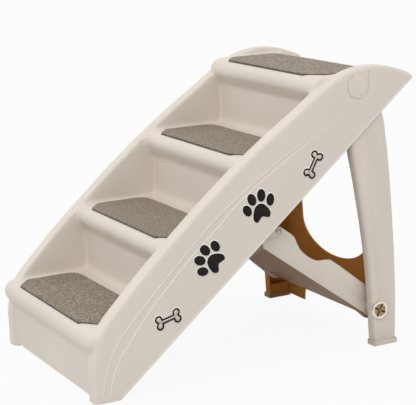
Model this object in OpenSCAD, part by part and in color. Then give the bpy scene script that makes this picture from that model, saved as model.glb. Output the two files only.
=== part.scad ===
// Folding pet stairs: a moulded flight of four carpeted steps between two side
// rails, held up at the back by a leg frame and a hooked brace that fold away.
// X runs across the stairs, Y from the lowest step to the platform, Z up.

/* [Stairs] */
// Width over the two side rails
overall_w = 395; // [388:1:402]
// Height from one tread to the next
step_rise = 123.5; // [121:0.5:126]
// Depth from one riser to the next
step_run = 147; // [144:0.5:150]
// Thickness of the moulded wall
wall = 3; // [2.6:0.1:3.2]
// Width of one hollow side rail
rail_w = 27; // [26.6:0.1:28]
// Radius of the rounded nose of a step
nose_r = 19.5; // [17:0.5:21]
// How far a nose stands proud of its riser
nose_reach = 15.5; // [12:0.5:17]
// Radius of the hollow corner where a tread meets a riser
corner_r = 12; // [9:0.5:14]

/* [Tread pads] */
// Thickness of a carpet pad
pad_t = 4; // [3:0.5:5]
// Bare strip of tread between a pad and the wall on either side
pad_margin = 8; // [6:0.5:20]
// Depth of a pad, front to back
pad_d = 124; // [116:1:126]
// Depth of the recess that a pad is glued into
pad_recess = 2; // [1:0.25:2.4]
// Length of the cut at each front corner, across the stairs
pad_cut_w = 32; // [20:1:40]
// Length of the cut at each front corner, along the stairs
pad_cut_d = 26; // [16:1:34]

/* [Leg frame] */
// Gap between a leg and the rail wall on either side of it
leg_gap = 1; // [0.7:0.1:1.3]
// Radius of the round top of a leg
leg_top_r = 24.5; // [22:0.5:25]
// Thickness of the leg frame's wall
leg_wall = 3; // [2.4:0.1:3.4]
// Width of the back panel on either side of its window
window_margin = 62; // [55:0.5:85]
// Width of the back panel on either side of the arch between the feet
arch_margin = 62.5; // [55:0.5:80]
// Height of the arch between the two feet
arch_h = 36; // [24:1:44]
// Height of a rubber foot cap
foot_cap_h = 9; // [8:0.5:14]
// Thickness of the rubber of a foot cap
foot_cap_t = 2; // [1.4:0.1:2.6]

/* [Brace] */
// Gap between a leg and the side flange of the brace beside it
brace_gap = 9.5; // [8:0.5:12]
// Angle of the brace above the floor
brace_slope = 36.17; // [35.8:0.1:36.6]
// Depth of a side flange below the pin
brace_below = 16.5; // [15:0.5:17]
// Depth of a side flange above the pin
brace_above = 30.5; // [26:0.5:31]
// Length from the pin to the front corner
brace_len = 267; // [262:0.5:268]
// Depth of the hand hold in the top edge of a flange
notch_d = 17; // [10:0.5:20]
// Radius of the latch rod
rod_r = 3.5; // [3:0.1:4]

/* [Pivots] */
// Radius of a pivot pin's shank
pin_r = 7; // [6:0.25:8]
// Radius of the flush cap on an upper pivot pin
pivot_cap_r = 21.5; // [18:0.5:23]
// Radius of the head on a brace pin
brace_pin_head_r = 16; // [14:0.5:17]
// Running clearance round a pin
running_gap = 0.08; // [0.04:0.01:0.1]

/* [Trim] */
// Width of a paw print over its toes
paw_size = 63; // [52:1:66]
// Length of a bone print
bone_len = 47.5; // [40:0.5:52]
// White border round a print
sticker_border = 2.4; // [2.2:0.1:3]
// Thickness of a sticker
sticker_t = 0.4; // [0.2:0.1:0.6]
// Depth of the styling crease in a rail's outer face
crease_d = 0.8; // [0.4:0.1:1.2]

/* [Hidden] */
$fn = 64;
step_count = 4;
overrun = 1;
touch_gap = 0.3;
seat_gap = 0.05;
half_w = overall_w / 2;
inner_half_w = half_w - rail_w;
pad_half_w = inner_half_w - pad_margin;
climb_y = step_count * step_run;
climb_z = step_count * step_rise;

// Outline of a side rail, front foot first, as shares of the whole climb
rail_shares = [
    [0, 0.002], [0, 0.07], [0, 0.138], [0.013, 0.2], [0.037, 0.262], [0.105, 0.346],
    [0.174, 0.427], [0.262, 0.52], [0.366, 0.627], [0.468, 0.724], [0.572, 0.814],
    [0.667, 0.889], [0.745, 0.953], [0.818, 1.001], [0.87, 1.021], [0.925, 1.028], [0.986, 1.02],
    [1.04, 1.0], [1.069, 0.985]
];
rail_foot_share = 0.0777;
rail_tip_shares = [1.076, 0.975];
rail_low_share = 0.002;
// The two lines of the styling crease, front foot first
crease_out_shares = [
    [0.024, 0.03], [0.034, 0.085], [0.058, 0.163], [0.085, 0.213], [0.113, 0.248], [0.17, 0.319],
    [0.274, 0.438], [0.389, 0.561], [0.472, 0.634], [0.604, 0.735], [0.723, 0.806], [0.8, 0.86]
];
crease_in_shares = [
    [0.046, 0.03], [0.061, 0.094], [0.084, 0.151], [0.11, 0.189], [0.142, 0.238], [0.192, 0.307],
    [0.306, 0.441], [0.404, 0.54], [0.47, 0.61], [0.604, 0.717], [0.723, 0.797], [0.8, 0.855]
];

// First riser stands this far behind the front of the rails
riser_set_share = 0.051;
riser_y0 = riser_set_share * step_run;
nose_y0 = riser_y0 - nose_reach + nose_r;
nose_under_angle = 35;
nose_join_share = 0.9;
nose_out = 19;
nose_end_r = 9;
platform_end_share = 0.992;
pad_set_share = 0.76;
platform_y = platform_end_share * climb_y;
lip_h = 22;
riser_lift = 5.5;
front_y = nose_y0 - nose_r;
rail_end_y = rail_tip_shares[0] * climb_y;
mid_y = (front_y + rail_end_y) / 2;
low_z = rail_low_share * climb_z;

// Upper pivots, in the hollow rails
pivot_y = 0.8784 * climb_y;
pivot_z = 0.9595 * climb_z;
lug_r = 20;
leg_out_x = half_w - wall - leg_gap;
leg_in_x = inner_half_w + wall + leg_gap;
leg_w = leg_out_x - leg_in_x;
window_w = 2 * (leg_in_x - window_margin);
arch_w = 2 * (leg_in_x - arch_margin);

// Rear and front edges of a leg: height and offset from the pivot, as shares of the pivot's height
leg_rear_shares = [
    [0.955, 0.073], [0.888, 0.113], [0.79, 0.129], [0.696, 0.14], [0.59, 0.149], [0.484, 0.1565],
    [0.329, 0.165], [0.17, 0.169], [0.012, 0.166]
];
leg_front_shares = [
    [0.012, 0.0718], [0.13, 0.0643], [0.25, 0.057], [0.39, 0.0425], [0.523, 0.0222], [0.65, 0],
    [0.768, -0.0243], [0.86, -0.041], [0.93, -0.052], [1, -0.0545]
];
panel_top_share = 0.928;
panel_low_share = 0.012;
window_top_share = 0.85;
window_low_share = 0.251;
window_round_share = 0.53;
leg_pocket_top_share = 0.88;
leg_pocket_low_share = 0.06;

// Brace pin, in the legs
pin_y = 0.9515 * climb_y;
pin_z = 0.1356 * climb_z;
brace_eye_r = 17;
slot_turn = -28;
brace_half_w = leg_in_x - brace_gap;
brace_chamfer = 8;
brace_top_shares = [0.962, 0.943, 0.377, 0.113, 0.045];
notch_shares = [
    [0.841, 0], [0.803, -0.12], [0.768, -0.45], [0.712, -0.85], [0.627, -1], [0.558, -0.83],
    [0.511, -0.37], [0.47, 0]
];
web_rise = 0;
heel_r = 23;
heel_share = 0.26;
heel_step = 1;
web_front_share = 0.966;
web_rear = 12;
lip_low_h = 12;
rod_s = 252.4;
rod_h = 20.2;
rod_end_gap = 0.5;

// Hooks under the third step that hold the latch rod
hook_t = 4;
hook_gap = 2.7;
hook_in_x = brace_half_w + hook_gap;
hook_boss_r = 5;
hook_boss_h = 6;
hook_floor = 3;
hook_tip_t = 2.5;
hook_tip_h = 5.5;
hook_foot_w = 24;
hook_foot_t = 3.5;
hook_foot_h = 44;
hook_foot_low = 6;
hook_slot_gap = 0.5;
screw_r = 2;
screw_head_r = 3.6;
screw_head_h = 2.4;

foot_cap_clear = 0.8;
clip_t = 2.5;
clip_ring = 3;
clip_r = pin_r + clip_ring;
pin_end = 4;
pin_dish_r = 11.5;
pin_dish_d = 1.2;
spacer_r = 12;
front_pad_t = 3;
front_pad_inset = 5;

// Smooth curve through a list of points, each stretch cut into equal parts
curve_parts = 4;
function at_end(pts, i) = pts[max(0, min(len(pts) - 1, i))];
function blend(a, b, c, d, t) =
    0.5 * (2 * b + (c - a) * t + (2 * a - 5 * b + 4 * c - d) * t * t
        + (3 * b - a - 3 * c + d) * t * t * t);
function curve(pts) = concat(
    [for (i = [0 : len(pts) - 2], k = [0 : curve_parts - 1])
        blend(at_end(pts, i - 1), pts[i], pts[i + 1], at_end(pts, i + 2), k / curve_parts)],
    [pts[len(pts) - 1]]);
function scaled(shares, y, z) = [for (p = shares) [p[0] * y, p[1] * z]];
function reversed(pts) = [for (i = [len(pts) - 1 : -1 : 0]) pts[i]];
function unit(v) = v / norm(v);
function turned(v) = [v[1], -v[0]];
function moved_in(pts, d) = [for (i = [0 : len(pts) - 1])
    pts[i] + d * turned(unit(at_end(pts, i + 1) - at_end(pts, i - 1)))];

rail_top = curve(scaled(rail_shares, climb_y, climb_z));
rail_tip = [rail_end_y, rail_tip_shares[1] * climb_z];
rail_foot = [rail_foot_share * climb_y, low_z];
rail_edge = concat(rail_top, [rail_tip]);

leg_rear = [for (p = curve(leg_rear_shares)) [pivot_y + p[1] * pivot_z, p[0] * pivot_z]];
leg_front = [for (p = curve(leg_front_shares)) [pivot_y + p[1] * pivot_z, p[0] * pivot_z]];

function brace_point(s, h) = [
    pin_y - s * cos(brace_slope) + h * sin(brace_slope),
    pin_z + s * sin(brace_slope) + h * cos(brace_slope)
];
rod_at = brace_point(rod_s, rod_h);

// Moves the whole object so that the origin lies under the middle of its box
module placed() { translate([0, -mid_y, 0]) children(); }

// Draws a side view outline (y, z) as a plate from x0 to x1
module plate(x0, x1) { translate([x0, 0, 0]) rotate([90, 0, 90]) linear_extrude(x1 - x0) children(); }

// Draws the same thing on the right, or mirrored on the left
module on_side(right) { mirror([right ? 0 : 1, 0, 0]) children(); }

// A round bar along X with its middle at (y, z)
module bar(x0, x1, y, z, r) { translate([x0, y, z]) rotate([0, 90, 0]) cylinder(h = x1 - x0, r = r); }

module rail_area() { polygon(concat(rail_edge, [rail_foot])); }

module rail_band() { polygon(concat(rail_edge, reversed(moved_in(rail_edge, wall)))); }

// Everything below the treads, or below their undersides when inset by the wall
module below_treads(inset = 0) {
    nose = nose_r - inset;
    slope_z = nose_under_angle;
    touch = [-nose * cos(slope_z), -nose * sin(slope_z)];
    foot_t = (riser_y0 + inset - nose_y0 - touch[0]) / sin(slope_z);
    foot = touch + foot_t * [sin(slope_z), -cos(slope_z)];
    for (i = [0 : step_count - 1]) {
        tread_z = (i + 1) * step_rise - inset;
        riser_y = riser_y0 + i * step_run + inset;
        last = i == step_count - 1;
        far_y = platform_y - inset;
        translate([riser_y, -overrun]) square([far_y - riser_y, tread_z - corner_r + overrun]);
        translate([nose_y0 + i * step_run, -overrun])
            square([far_y - nose_y0 - i * step_run, tread_z + overrun]);
        translate([nose_y0 + i * step_run, tread_z - nose]) {
            circle(nose);
            polygon([[0, 0], nose_join_share * touch, foot, foot + [wall, 0], [wall, 0]]);
        }
        if (!last)
            difference() {
                translate([riser_y + step_run - inset - corner_r, tread_z])
                    square([corner_r + inset, corner_r + inset]);
                translate([riser_y + step_run - inset - corner_r, tread_z + inset + corner_r])
                    circle(corner_r + inset);
            }
    }
}

module lip_cut() {
    translate([platform_y - wall, -overrun]) square([2 * wall, climb_z - lip_h + overrun]);
}

module step_section() {
    difference() {
        below_treads();
        below_treads(wall);
        translate([-nose_r, -nose_r]) square([2 * climb_y, nose_r + riser_lift]);
        lip_cut();
    }
}

module pad_area(clear = 0) {
    w = pad_half_w + clear;
    d = pad_d + clear;
    polygon([
        [-w + pad_cut_w, -clear], [w - pad_cut_w, -clear], [w, pad_cut_d], [w - clear, d * 0.87],
        [w - pad_cut_w * 0.28, d * 0.97], [w - pad_cut_w, d], [pad_cut_w - w, d],
        [pad_cut_w * 0.28 - w, d * 0.97], [clear - w, d * 0.87], [-w, pad_cut_d]
    ]);
}

module pad_at(i) {
    translate([0, front_y + pad_set_share * nose_reach + i * step_run, (i + 1) * step_rise - pad_recess])
        children();
}

module tread_pad(i) {
    color([0.5, 0.46, 0.41]) placed() pad_at(i) linear_extrude(pad_t) pad_area();
}

module rail(right) {
    on_side(right) {
        plate(half_w - wall, half_w) difference() {
            rail_area();
            translate([pivot_y, pivot_z]) circle(pivot_cap_r + running_gap);
        }
        plate(inner_half_w, half_w) rail_band();
        plate(inner_half_w, inner_half_w + wall) {
            difference() {
                rail_area();
                below_treads(wall);
            }
            difference() {
                union() {
                    translate([pivot_y, pivot_z]) circle(lug_r);
                    translate([pivot_y - lug_r, pivot_z]) square([2 * lug_r, climb_z - pivot_z - wall / 2]);
                }
                translate([pivot_y, pivot_z]) circle(pin_r + running_gap);
            }
        }
        translate([inner_half_w, wall / 2, low_z + front_pad_t])
            cube([rail_w - wall / 2, rail_foot[0] - wall, wall]);
    }
}

module crease(right) {
    on_side(right) plate(half_w - crease_d, half_w + overrun) polygon(concat(
        curve(scaled(crease_out_shares, climb_y, climb_z)),
        reversed(curve(scaled(crease_in_shares, climb_y, climb_z)))));
}

module hook_bosses(right) {
    on_side(right) for (z = hook_screw_z) translate([hook_screw_x, hook_back_y - hook_boss_h - wall / 2, z])
        rotate([-90, 0, 0]) cylinder(h = hook_boss_h + wall / 2, r = hook_boss_r);
}

module screw_holes(right) {
    on_side(right) for (z = hook_screw_z) translate([hook_screw_x, hook_back_y - hook_boss_h, z])
        rotate([-90, 0, 0]) cylinder(h = hook_boss_h + overrun, r = screw_r + seat_gap);
}

// The front nose runs out over the rails and has a rounded end on each side
module nose_end(right) {
    long = nose_out;
    r = nose_r - wall;
    on_side(right) translate([inner_half_w + wall, nose_y0, step_rise - nose_r]) rotate([0, 90, 0])
        rotate_extrude() difference() {
            union() {
                square([nose_r, long - nose_end_r]);
                square([nose_r - nose_end_r, long]);
                intersection() {
                    translate([nose_r - nose_end_r, long - nose_end_r]) circle(nose_end_r);
                    square([nose_r, long]);
                }
            }
            square([r - wall, long - 2 * wall]);
        }
}

module stair_body() {
    color([0.86, 0.82, 0.78]) placed() difference() {
        union() {
            plate(-inner_half_w - wall, inner_half_w + wall) step_section();
            rail(true);
            rail(false);
            nose_end(true);
            nose_end(false);
            for (i = [0 : step_count - 1]) pad_at(i) translate([0, 0, -wall]) linear_extrude(wall) pad_area();
            hook_bosses(true);
            hook_bosses(false);
        }
        for (i = [0 : step_count - 1]) pad_at(i) linear_extrude(pad_recess + overrun) pad_area(touch_gap);
        crease(true);
        crease(false);
        screw_holes(true);
        screw_holes(false);
    }
}

module front_foot_pad(right) {
    color([0.16, 0.16, 0.17]) placed() on_side(right)
        translate([inner_half_w + wall + touch_gap, wall + touch_gap, 0])
            cube([rail_w - 2 * wall - 2 * touch_gap, rail_foot[0] - front_pad_inset - wall, low_z + front_pad_t]);
}

// Bracket with an upward mouth, screwed to bosses behind the third riser
hook_back_y = riser_y0 + 2 * step_run + wall + hook_boss_h;
hook_screw_x = hook_in_x - hook_foot_w / 2 + hook_t / 2;
hook_low_z = rod_at[1] + hook_foot_low;
hook_screw_z = [for (k = [0.27, 0.73]) hook_low_z + k * hook_foot_h];

module hook_side() {
    slot_r = rod_r + hook_slot_gap;
    difference() {
        polygon([
            [hook_back_y, hook_low_z], [rod_at[0] - 4 * slot_r, rod_at[1] - slot_r - hook_floor],
            [rod_at[0] + slot_r, rod_at[1] - slot_r - hook_floor],
            [rod_at[0] + slot_r + hook_tip_t, rod_at[1] - slot_r],
            [rod_at[0] + slot_r + hook_tip_t, rod_at[1] + hook_tip_h - hook_floor],
            [rod_at[0] + slot_r + hook_tip_t / 2, rod_at[1] + hook_tip_h],
            [rod_at[0] - slot_r - 2 * rod_r, rod_at[1] + hook_tip_h],
            [hook_back_y + hook_foot_t, hook_low_z + hook_foot_h], [hook_back_y, hook_low_z + hook_foot_h]
        ]);
        translate(rod_at) circle(slot_r);
        translate([rod_at[0] - slot_r - rod_r / 2, rod_at[1]])
            square([2 * slot_r + rod_r / 2, hook_tip_h + overrun]);
    }
}

module latch_hook(right) {
    color([0.62, 0.63, 0.65]) placed() on_side(right) {
        plate(hook_in_x, hook_in_x + hook_t) hook_side();
        difference() {
            translate([hook_in_x - hook_foot_w + hook_t, hook_back_y, hook_low_z])
                cube([hook_foot_w, hook_foot_t, hook_foot_h]);
            for (z = hook_screw_z) translate([hook_screw_x, hook_back_y - overrun, z])
                rotate([-90, 0, 0]) cylinder(h = hook_foot_t + 2 * overrun, r = screw_r + seat_gap);
        }
    }
}

module latch_hook_screws() {
    color([0.75, 0.75, 0.76]) placed() for (right = [true, false]) on_side(right)
        for (z = hook_screw_z) translate([hook_screw_x, hook_back_y, z]) rotate([-90, 0, 0]) {
            translate([0, 0, touch_gap - hook_boss_h])
                cylinder(h = hook_boss_h + hook_foot_t, r = screw_r);
            translate([0, 0, hook_foot_t]) cylinder(h = screw_head_h, r = screw_head_r);
        }
}

module upper_pivot_pin(right) {
    color([0.87, 0.83, 0.79]) placed() on_side(right) {
        bar(half_w - wall, half_w, pivot_y, pivot_z, pivot_cap_r);
        bar(inner_half_w - clip_t - pin_end, half_w - wall + overrun, pivot_y, pivot_z, pin_r);
    }
}

module upper_pivot_clip(right) {
    color([0.7, 0.7, 0.72]) placed() on_side(right) difference() {
        bar(inner_half_w - clip_t, inner_half_w - touch_gap, pivot_y, pivot_z, clip_r);
        bar(inner_half_w - clip_t - overrun, inner_half_w + overrun, pivot_y, pivot_z, pin_r + seat_gap);
    }
}

module leg_area() {
    translate([pivot_y, pivot_z]) circle(leg_top_r);
    polygon(concat(leg_rear, leg_front, [[pivot_y, pivot_z]]));
}

module leg_pocket_area() {
    difference() {
        intersection() {
            polygon(concat(
                [for (p = leg_rear) p - [leg_wall, 0]], [for (p = leg_front) p + [leg_wall, 0]]));
            translate([0, leg_pocket_low_share * pivot_z])
                square([2 * climb_y, (leg_pocket_top_share - leg_pocket_low_share) * pivot_z]);
        }
        translate([pin_y, pin_z]) circle(brace_pin_head_r);
    }
}

module leg(right) {
    on_side(right) difference() {
        plate(leg_in_x, leg_out_x) leg_area();
        plate(leg_in_x - overrun, leg_out_x - leg_wall) leg_pocket_area();
        bar(leg_in_x - overrun, leg_out_x + overrun, pivot_y, pivot_z, pin_r + running_gap);
        bar(leg_in_x - overrun, leg_out_x + overrun, pin_y, pin_z, pin_r + seat_gap);
    }
}

module panel_section() {
    rear = [for (p = leg_rear) if (p[1] <= panel_top_share * pivot_z && p[1] >= panel_low_share * pivot_z) p];
    polygon(concat(rear, reversed([for (p = rear) p - [leg_wall, 0]])));
}

// The large opening, round at the bottom and with round corners at the top
module window_shape() {
    low = window_low_share * pivot_z;
    top = window_top_share * pivot_z;
    round_h = window_round_share * window_w / 2;
    top_r = window_w / 6;
    translate([-window_w / 2, low + round_h]) square([window_w, top - top_r - low - round_h]);
    translate([top_r - window_w / 2, low + round_h]) square([window_w - 2 * top_r, top - low - round_h]);
    for (side = [-1, 1]) translate([side * (window_w / 2 - top_r), top - top_r]) circle(top_r);
    polygon([for (k = [0 : 32]) [
        -cos(k * 180 / 32) * window_w / 2, low + round_h - sin(k * 180 / 32) * round_h]]);
}

module arch_shape() {
    r = arch_h / 2;
    translate([-arch_w / 2, -overrun]) square([arch_w, arch_h - r + overrun]);
    translate([r - arch_w / 2, -overrun]) square([arch_w - 2 * r, arch_h + overrun]);
    for (side = [-1, 1]) translate([side * (arch_w / 2 - r), arch_h - r]) circle(r);
}

module leg_frame() {
    color([0.84, 0.79, 0.73]) placed() {
        leg(true);
        leg(false);
        difference() {
            plate(-leg_in_x - overrun, leg_in_x + overrun) panel_section();
            translate([0, 2 * climb_y, 0]) rotate([90, 0, 0]) linear_extrude(2 * climb_y) {
                window_shape();
                arch_shape();
            }
        }
    }
}

module rear_foot_cap(right) {
    low = panel_low_share * pivot_z;
    foot = leg_front[0][0];
    back = leg_rear[len(leg_rear) - 1][0];
    color([0.8, 0.75, 0.69]) placed() on_side(right) difference() {
        translate([leg_in_x - foot_cap_t + touch_gap, foot - foot_cap_t, 0])
            cube([leg_w + 2 * foot_cap_t - 2 * touch_gap, back - foot + 2 * foot_cap_t, foot_cap_h]);
        translate([leg_in_x - touch_gap, foot - foot_cap_clear, low - touch_gap])
            cube([leg_w + 2 * touch_gap, back - foot + 2 * foot_cap_clear, foot_cap_h]);
        translate([leg_in_x - 2 * foot_cap_t, back - leg_wall - touch_gap, low - touch_gap])
            cube([3 * foot_cap_t, leg_wall + 2 * touch_gap, foot_cap_h]);
    }
}

module brace_pin(right) {
    head_t = half_w - leg_out_x - touch_gap;
    color([0.9, 0.86, 0.76]) placed() on_side(right) difference() {
        union() {
            bar(leg_out_x, leg_out_x + head_t, pin_y, pin_z, brace_pin_head_r);
            bar(brace_half_w - wall - clip_t - pin_end, leg_out_x, pin_y, pin_z, pin_r);
        }
        bar(brace_half_w + wall, half_w + overrun, pin_y, pin_z, pin_r - wall);
        bar(leg_out_x + head_t - pin_dish_d, half_w + overrun, pin_y, pin_z, pin_dish_r);
        for (turn = [0, 90])
            translate([leg_out_x + head_t / 3, pin_y, pin_z]) rotate([turn + slot_turn, 0, 0])
                translate([0, -brace_pin_head_r * 0.8, -wall / 2])
                    cube([head_t, brace_pin_head_r * 1.6, wall]);
    }
}

module brace_spacer(right) {
    color([0.9, 0.9, 0.88]) placed() on_side(right) difference() {
        bar(brace_half_w + touch_gap, leg_in_x - touch_gap, pin_y, pin_z, spacer_r);
        bar(brace_half_w, leg_in_x, pin_y, pin_z, pin_r + running_gap);
    }
}

module brace_pin_clip(right) {
    color([0.7, 0.7, 0.72]) placed() on_side(right) difference() {
        bar(brace_half_w - wall - clip_t, brace_half_w - wall - touch_gap, pin_y, pin_z, clip_r);
        bar(brace_half_w - wall - clip_t - overrun, brace_half_w, pin_y, pin_z, pin_r + seat_gap);
    }
}

// Side view of the brace, drawn along its own slope from the pin
module along_brace() {
    translate([pin_y, pin_z]) rotate(-brace_slope) mirror([1, 0]) children();
}

module flange_area() {
    top = brace_above;
    low = -brace_below;
    notch = curve([for (p = notch_shares) [p[0] * brace_len, top + p[1] * notch_d]]);
    circle(brace_eye_r);
    polygon(concat(
        [[0, low], [brace_len - brace_chamfer, low], [brace_len, low + brace_chamfer],
            [brace_len * brace_top_shares[0], top * 0.84], [brace_len * brace_top_shares[1], top]],
        notch,
        [[brace_len * brace_top_shares[2], top], [brace_len * brace_top_shares[3], top * 0.9],
            [brace_len * brace_top_shares[4], top * 0.74], [0, brace_eye_r]]));
}

// The flanges run deeper round the pin, a step in from their outer faces
module heel_area() {
    long = brace_len * heel_share;
    circle(heel_r);
    polygon([[0, -heel_r], [long, -brace_below], [long, 0], [0, 0]]);
}

module web_area() {
    long = brace_len * web_front_share;
    translate([-web_rear, web_rise - brace_below]) square([long + web_rear, wall]);
    translate([long - wall, web_rise - brace_below]) square([wall, lip_low_h]);
    translate([-web_rear, web_rise - brace_below]) square([wall, wall * 3 / 2]);
}

module brace_panel() {
    color([0.82, 0.77, 0.71]) placed() {
        for (right = [true, false]) on_side(right) plate(brace_half_w - wall, brace_half_w)
            along_brace() difference() {
                flange_area();
                circle(pin_r + running_gap);
                translate([rod_s, rod_h]) circle(rod_r + seat_gap);
            }
        for (right = [true, false]) on_side(right) plate(brace_half_w - wall, brace_half_w - heel_step)
            along_brace() difference() {
                heel_area();
                circle(pin_r + running_gap);
            }
        plate(-brace_half_w + wall / 2, brace_half_w - wall / 2) along_brace() web_area();
    }
}

module latch_rod() {
    reach = hook_in_x + hook_t - rod_end_gap;
    color([0.7, 0.71, 0.73]) placed() bar(-reach, reach, rod_at[0], rod_at[1], rod_r);
}

// Stickers: the white backing of each print, trimmed to its outline
toe_shares = [
    [-0.373, 0.222, 0.122, 0.171], [-0.152, 0.449, 0.129, 0.176],
    [0.152, 0.449, 0.129, 0.176], [0.373, 0.222, 0.122, 0.171]
];
toe_leans = [20, 11, -11, -20];
heel_shares = [
    [0, 0.259], [-0.119, 0.216], [-0.203, 0.111], [-0.254, 0], [-0.273, -0.103], [-0.235, -0.19],
    [-0.167, -0.213], [-0.095, -0.171], [0, -0.119]
];

// A toe is an oval: place, half width and half length as shares of the paw's size
module toe_shape(k) {
    toe = toe_shares[k] * paw_size;
    translate([toe[0], toe[1]]) rotate(toe_leans[k]) polygon([
        for (a = [0 : 15 : 345]) [(toe[2] + sticker_border) * cos(a), (toe[3] + sticker_border) * sin(a)]]);
}

module paw_shape() {
    half = scaled(heel_shares, paw_size, paw_size);
    other = [for (k = [len(half) - 2 : -1 : 0]) [-half[k][0], half[k][1]]];
    polygon(moved_in(curve(concat(half, other)), sticker_border));
    for (k = [0 : len(toe_shares) - 1]) toe_shape(k);
}

// Places of a bone's knobs, their radius and half the width of its shank
knob_at_shares = [0.352, 0.127];
knob_r_share = 0.148;
shank_share = 0.097;

module bone_shape() {
    square([2 * knob_at_shares[0] * bone_len, 2 * (shank_share * bone_len + sticker_border)], center = true);
    for (x = [-1, 1], y = [-1, 1]) translate([x * knob_at_shares[0], y * knob_at_shares[1]] * bone_len)
        circle(knob_r_share * bone_len + sticker_border);
}

sticker_shares = [[0.388, 0.419], [0.541, 0.565], [0.233, 0.25], [0.719, 0.706]];
sticker_turns = [58, 17, 14, 61];

module sticker(k, right) {
    color([0.2, 0.17, 0.16]) placed() on_side(right)
        translate([0, sticker_shares[k][0] * climb_y, sticker_shares[k][1] * climb_z])
            plate(half_w, half_w + sticker_t) rotate(sticker_turns[k])
                if (k < 2) paw_shape(); else bone_shape();
}

stair_body();
tread_pad(0);  // tread_pad_1
tread_pad(1);  // tread_pad_2
tread_pad(2);  // tread_pad_3
tread_pad(3);  // tread_pad_4
front_foot_pad(false);  // front_foot_pad_left
front_foot_pad(true);  // front_foot_pad_right
latch_hook(false);  // latch_hook_left
latch_hook(true);  // latch_hook_right
latch_hook_screws();
upper_pivot_pin(false);  // upper_pivot_pin_left
upper_pivot_pin(true);  // upper_pivot_pin_right
upper_pivot_clip(false);  // upper_pivot_clip_left
upper_pivot_clip(true);  // upper_pivot_clip_right
leg_frame();
rear_foot_cap(false);  // rear_foot_cap_left
rear_foot_cap(true);  // rear_foot_cap_right
brace_pin(false);  // brace_pin_left
brace_pin(true);  // brace_pin_right
brace_spacer(false);  // brace_spacer_left
brace_spacer(true);  // brace_spacer_right
brace_pin_clip(false);  // brace_pin_clip_left
brace_pin_clip(true);  // brace_pin_clip_right
brace_panel();
latch_rod();
sticker(0, true);  // paw_sticker_low_right
sticker(1, true);  // paw_sticker_high_right
sticker(2, true);  // bone_sticker_low_right
sticker(3, true);  // bone_sticker_high_right
sticker(0, false);  // paw_sticker_low_left
sticker(1, false);  // paw_sticker_high_left
sticker(2, false);  // bone_sticker_low_left
sticker(3, false);  // bone_sticker_high_left
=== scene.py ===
import math

import bmesh
import bpy
from mathutils import Matrix, Vector, noise
from mathutils.bvhtree import BVHTree


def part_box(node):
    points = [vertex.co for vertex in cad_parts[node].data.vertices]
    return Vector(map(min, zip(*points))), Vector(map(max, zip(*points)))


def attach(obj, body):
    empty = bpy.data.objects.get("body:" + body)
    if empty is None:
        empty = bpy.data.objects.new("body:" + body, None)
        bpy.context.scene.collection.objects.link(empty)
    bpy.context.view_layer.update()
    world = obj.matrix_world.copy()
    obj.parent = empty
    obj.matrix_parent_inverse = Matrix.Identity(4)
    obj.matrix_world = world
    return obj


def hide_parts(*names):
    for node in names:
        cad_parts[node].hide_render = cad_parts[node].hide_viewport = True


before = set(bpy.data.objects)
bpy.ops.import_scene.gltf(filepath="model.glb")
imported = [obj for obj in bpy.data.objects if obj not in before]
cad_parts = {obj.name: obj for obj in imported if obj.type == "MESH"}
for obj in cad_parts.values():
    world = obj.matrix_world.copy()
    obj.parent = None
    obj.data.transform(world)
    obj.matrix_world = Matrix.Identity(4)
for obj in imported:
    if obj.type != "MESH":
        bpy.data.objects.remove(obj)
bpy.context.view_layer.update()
scene = bpy.context.scene
mm = 0.001

# Camera: a long lens in front of the right-hand rail, a little above the platform. Its place was
# solved from the corners of the rails, treads and legs.
cam_azimuth = math.radians(62.1)
cam_elevation = math.radians(12.6)
cam_roll = math.radians(-1.8)
cam_place = Vector((2.242, -1.177, 0.827))
image_w_px = 416
focal_px = 1441.8

cam_back = Vector((
    math.sin(cam_azimuth) * math.cos(cam_elevation),
    -math.cos(cam_azimuth) * math.cos(cam_elevation),
    math.sin(cam_elevation)))
level_right = Vector((0, 0, 1)).cross(cam_back).normalized()
level_up = cam_back.cross(level_right)
cam_right = level_right * math.cos(cam_roll) + level_up * math.sin(cam_roll)
cam_up = level_up * math.cos(cam_roll) - level_right * math.sin(cam_roll)
cam_turn = Matrix((cam_right, cam_up, cam_back)).transposed().to_4x4()
cam = bpy.data.objects.new("camera", bpy.data.cameras.new("camera"))
scene.collection.objects.link(cam)
cam.matrix_world = Matrix.Translation(cam_place) @ cam_turn
cam.data.sensor_width = 36
cam.data.lens = cam.data.sensor_width * focal_px / image_w_px
scene.camera = cam

# Studio: a pale floor that keeps a faint shadow, a white surround, a broad soft lamp high in front
# and a smaller one off the front right corner.
floor_size = 20
floor_white = (0.62, 0.62, 0.62, 1)
floor_glow_share = 0.93
room_tint = (1, 0.99, 0.98, 1)
world_level = 0.96


def node_material(name):
    """A new material with an empty tree, and that tree's nodes and links."""
    mat = bpy.data.materials.new(name)
    mat.use_nodes = True
    mat.node_tree.nodes.clear()
    return mat, mat.node_tree.nodes, mat.node_tree.links


def add_node(nodes, kind, inputs=None):
    """A new shader node, with some of its inputs set."""
    node = nodes.new(f"ShaderNode{kind}")
    for socket, value in (inputs or {}).items():
        node.inputs[socket].default_value = value
    return node


def join(links, *wires):
    """Links nodes. A wire is a source, its output, a target and its input."""
    for source, output, target, socket in wires:
        links.new(source.outputs[output], target.inputs[socket])


def sees_white(nodes, links, kinds):
    """A node that gives 1 for the kinds of ray that see the white surround."""
    rays = add_node(nodes, "LightPath")
    found, output = rays, kinds[0]
    for kind in kinds[1:]:
        either = add_node(nodes, "Math")
        either.operation = "MAXIMUM"
        join(links, (found, output, either, 0), (rays, kind, either, 1))
        found, output = either, 0
    return found


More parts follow.
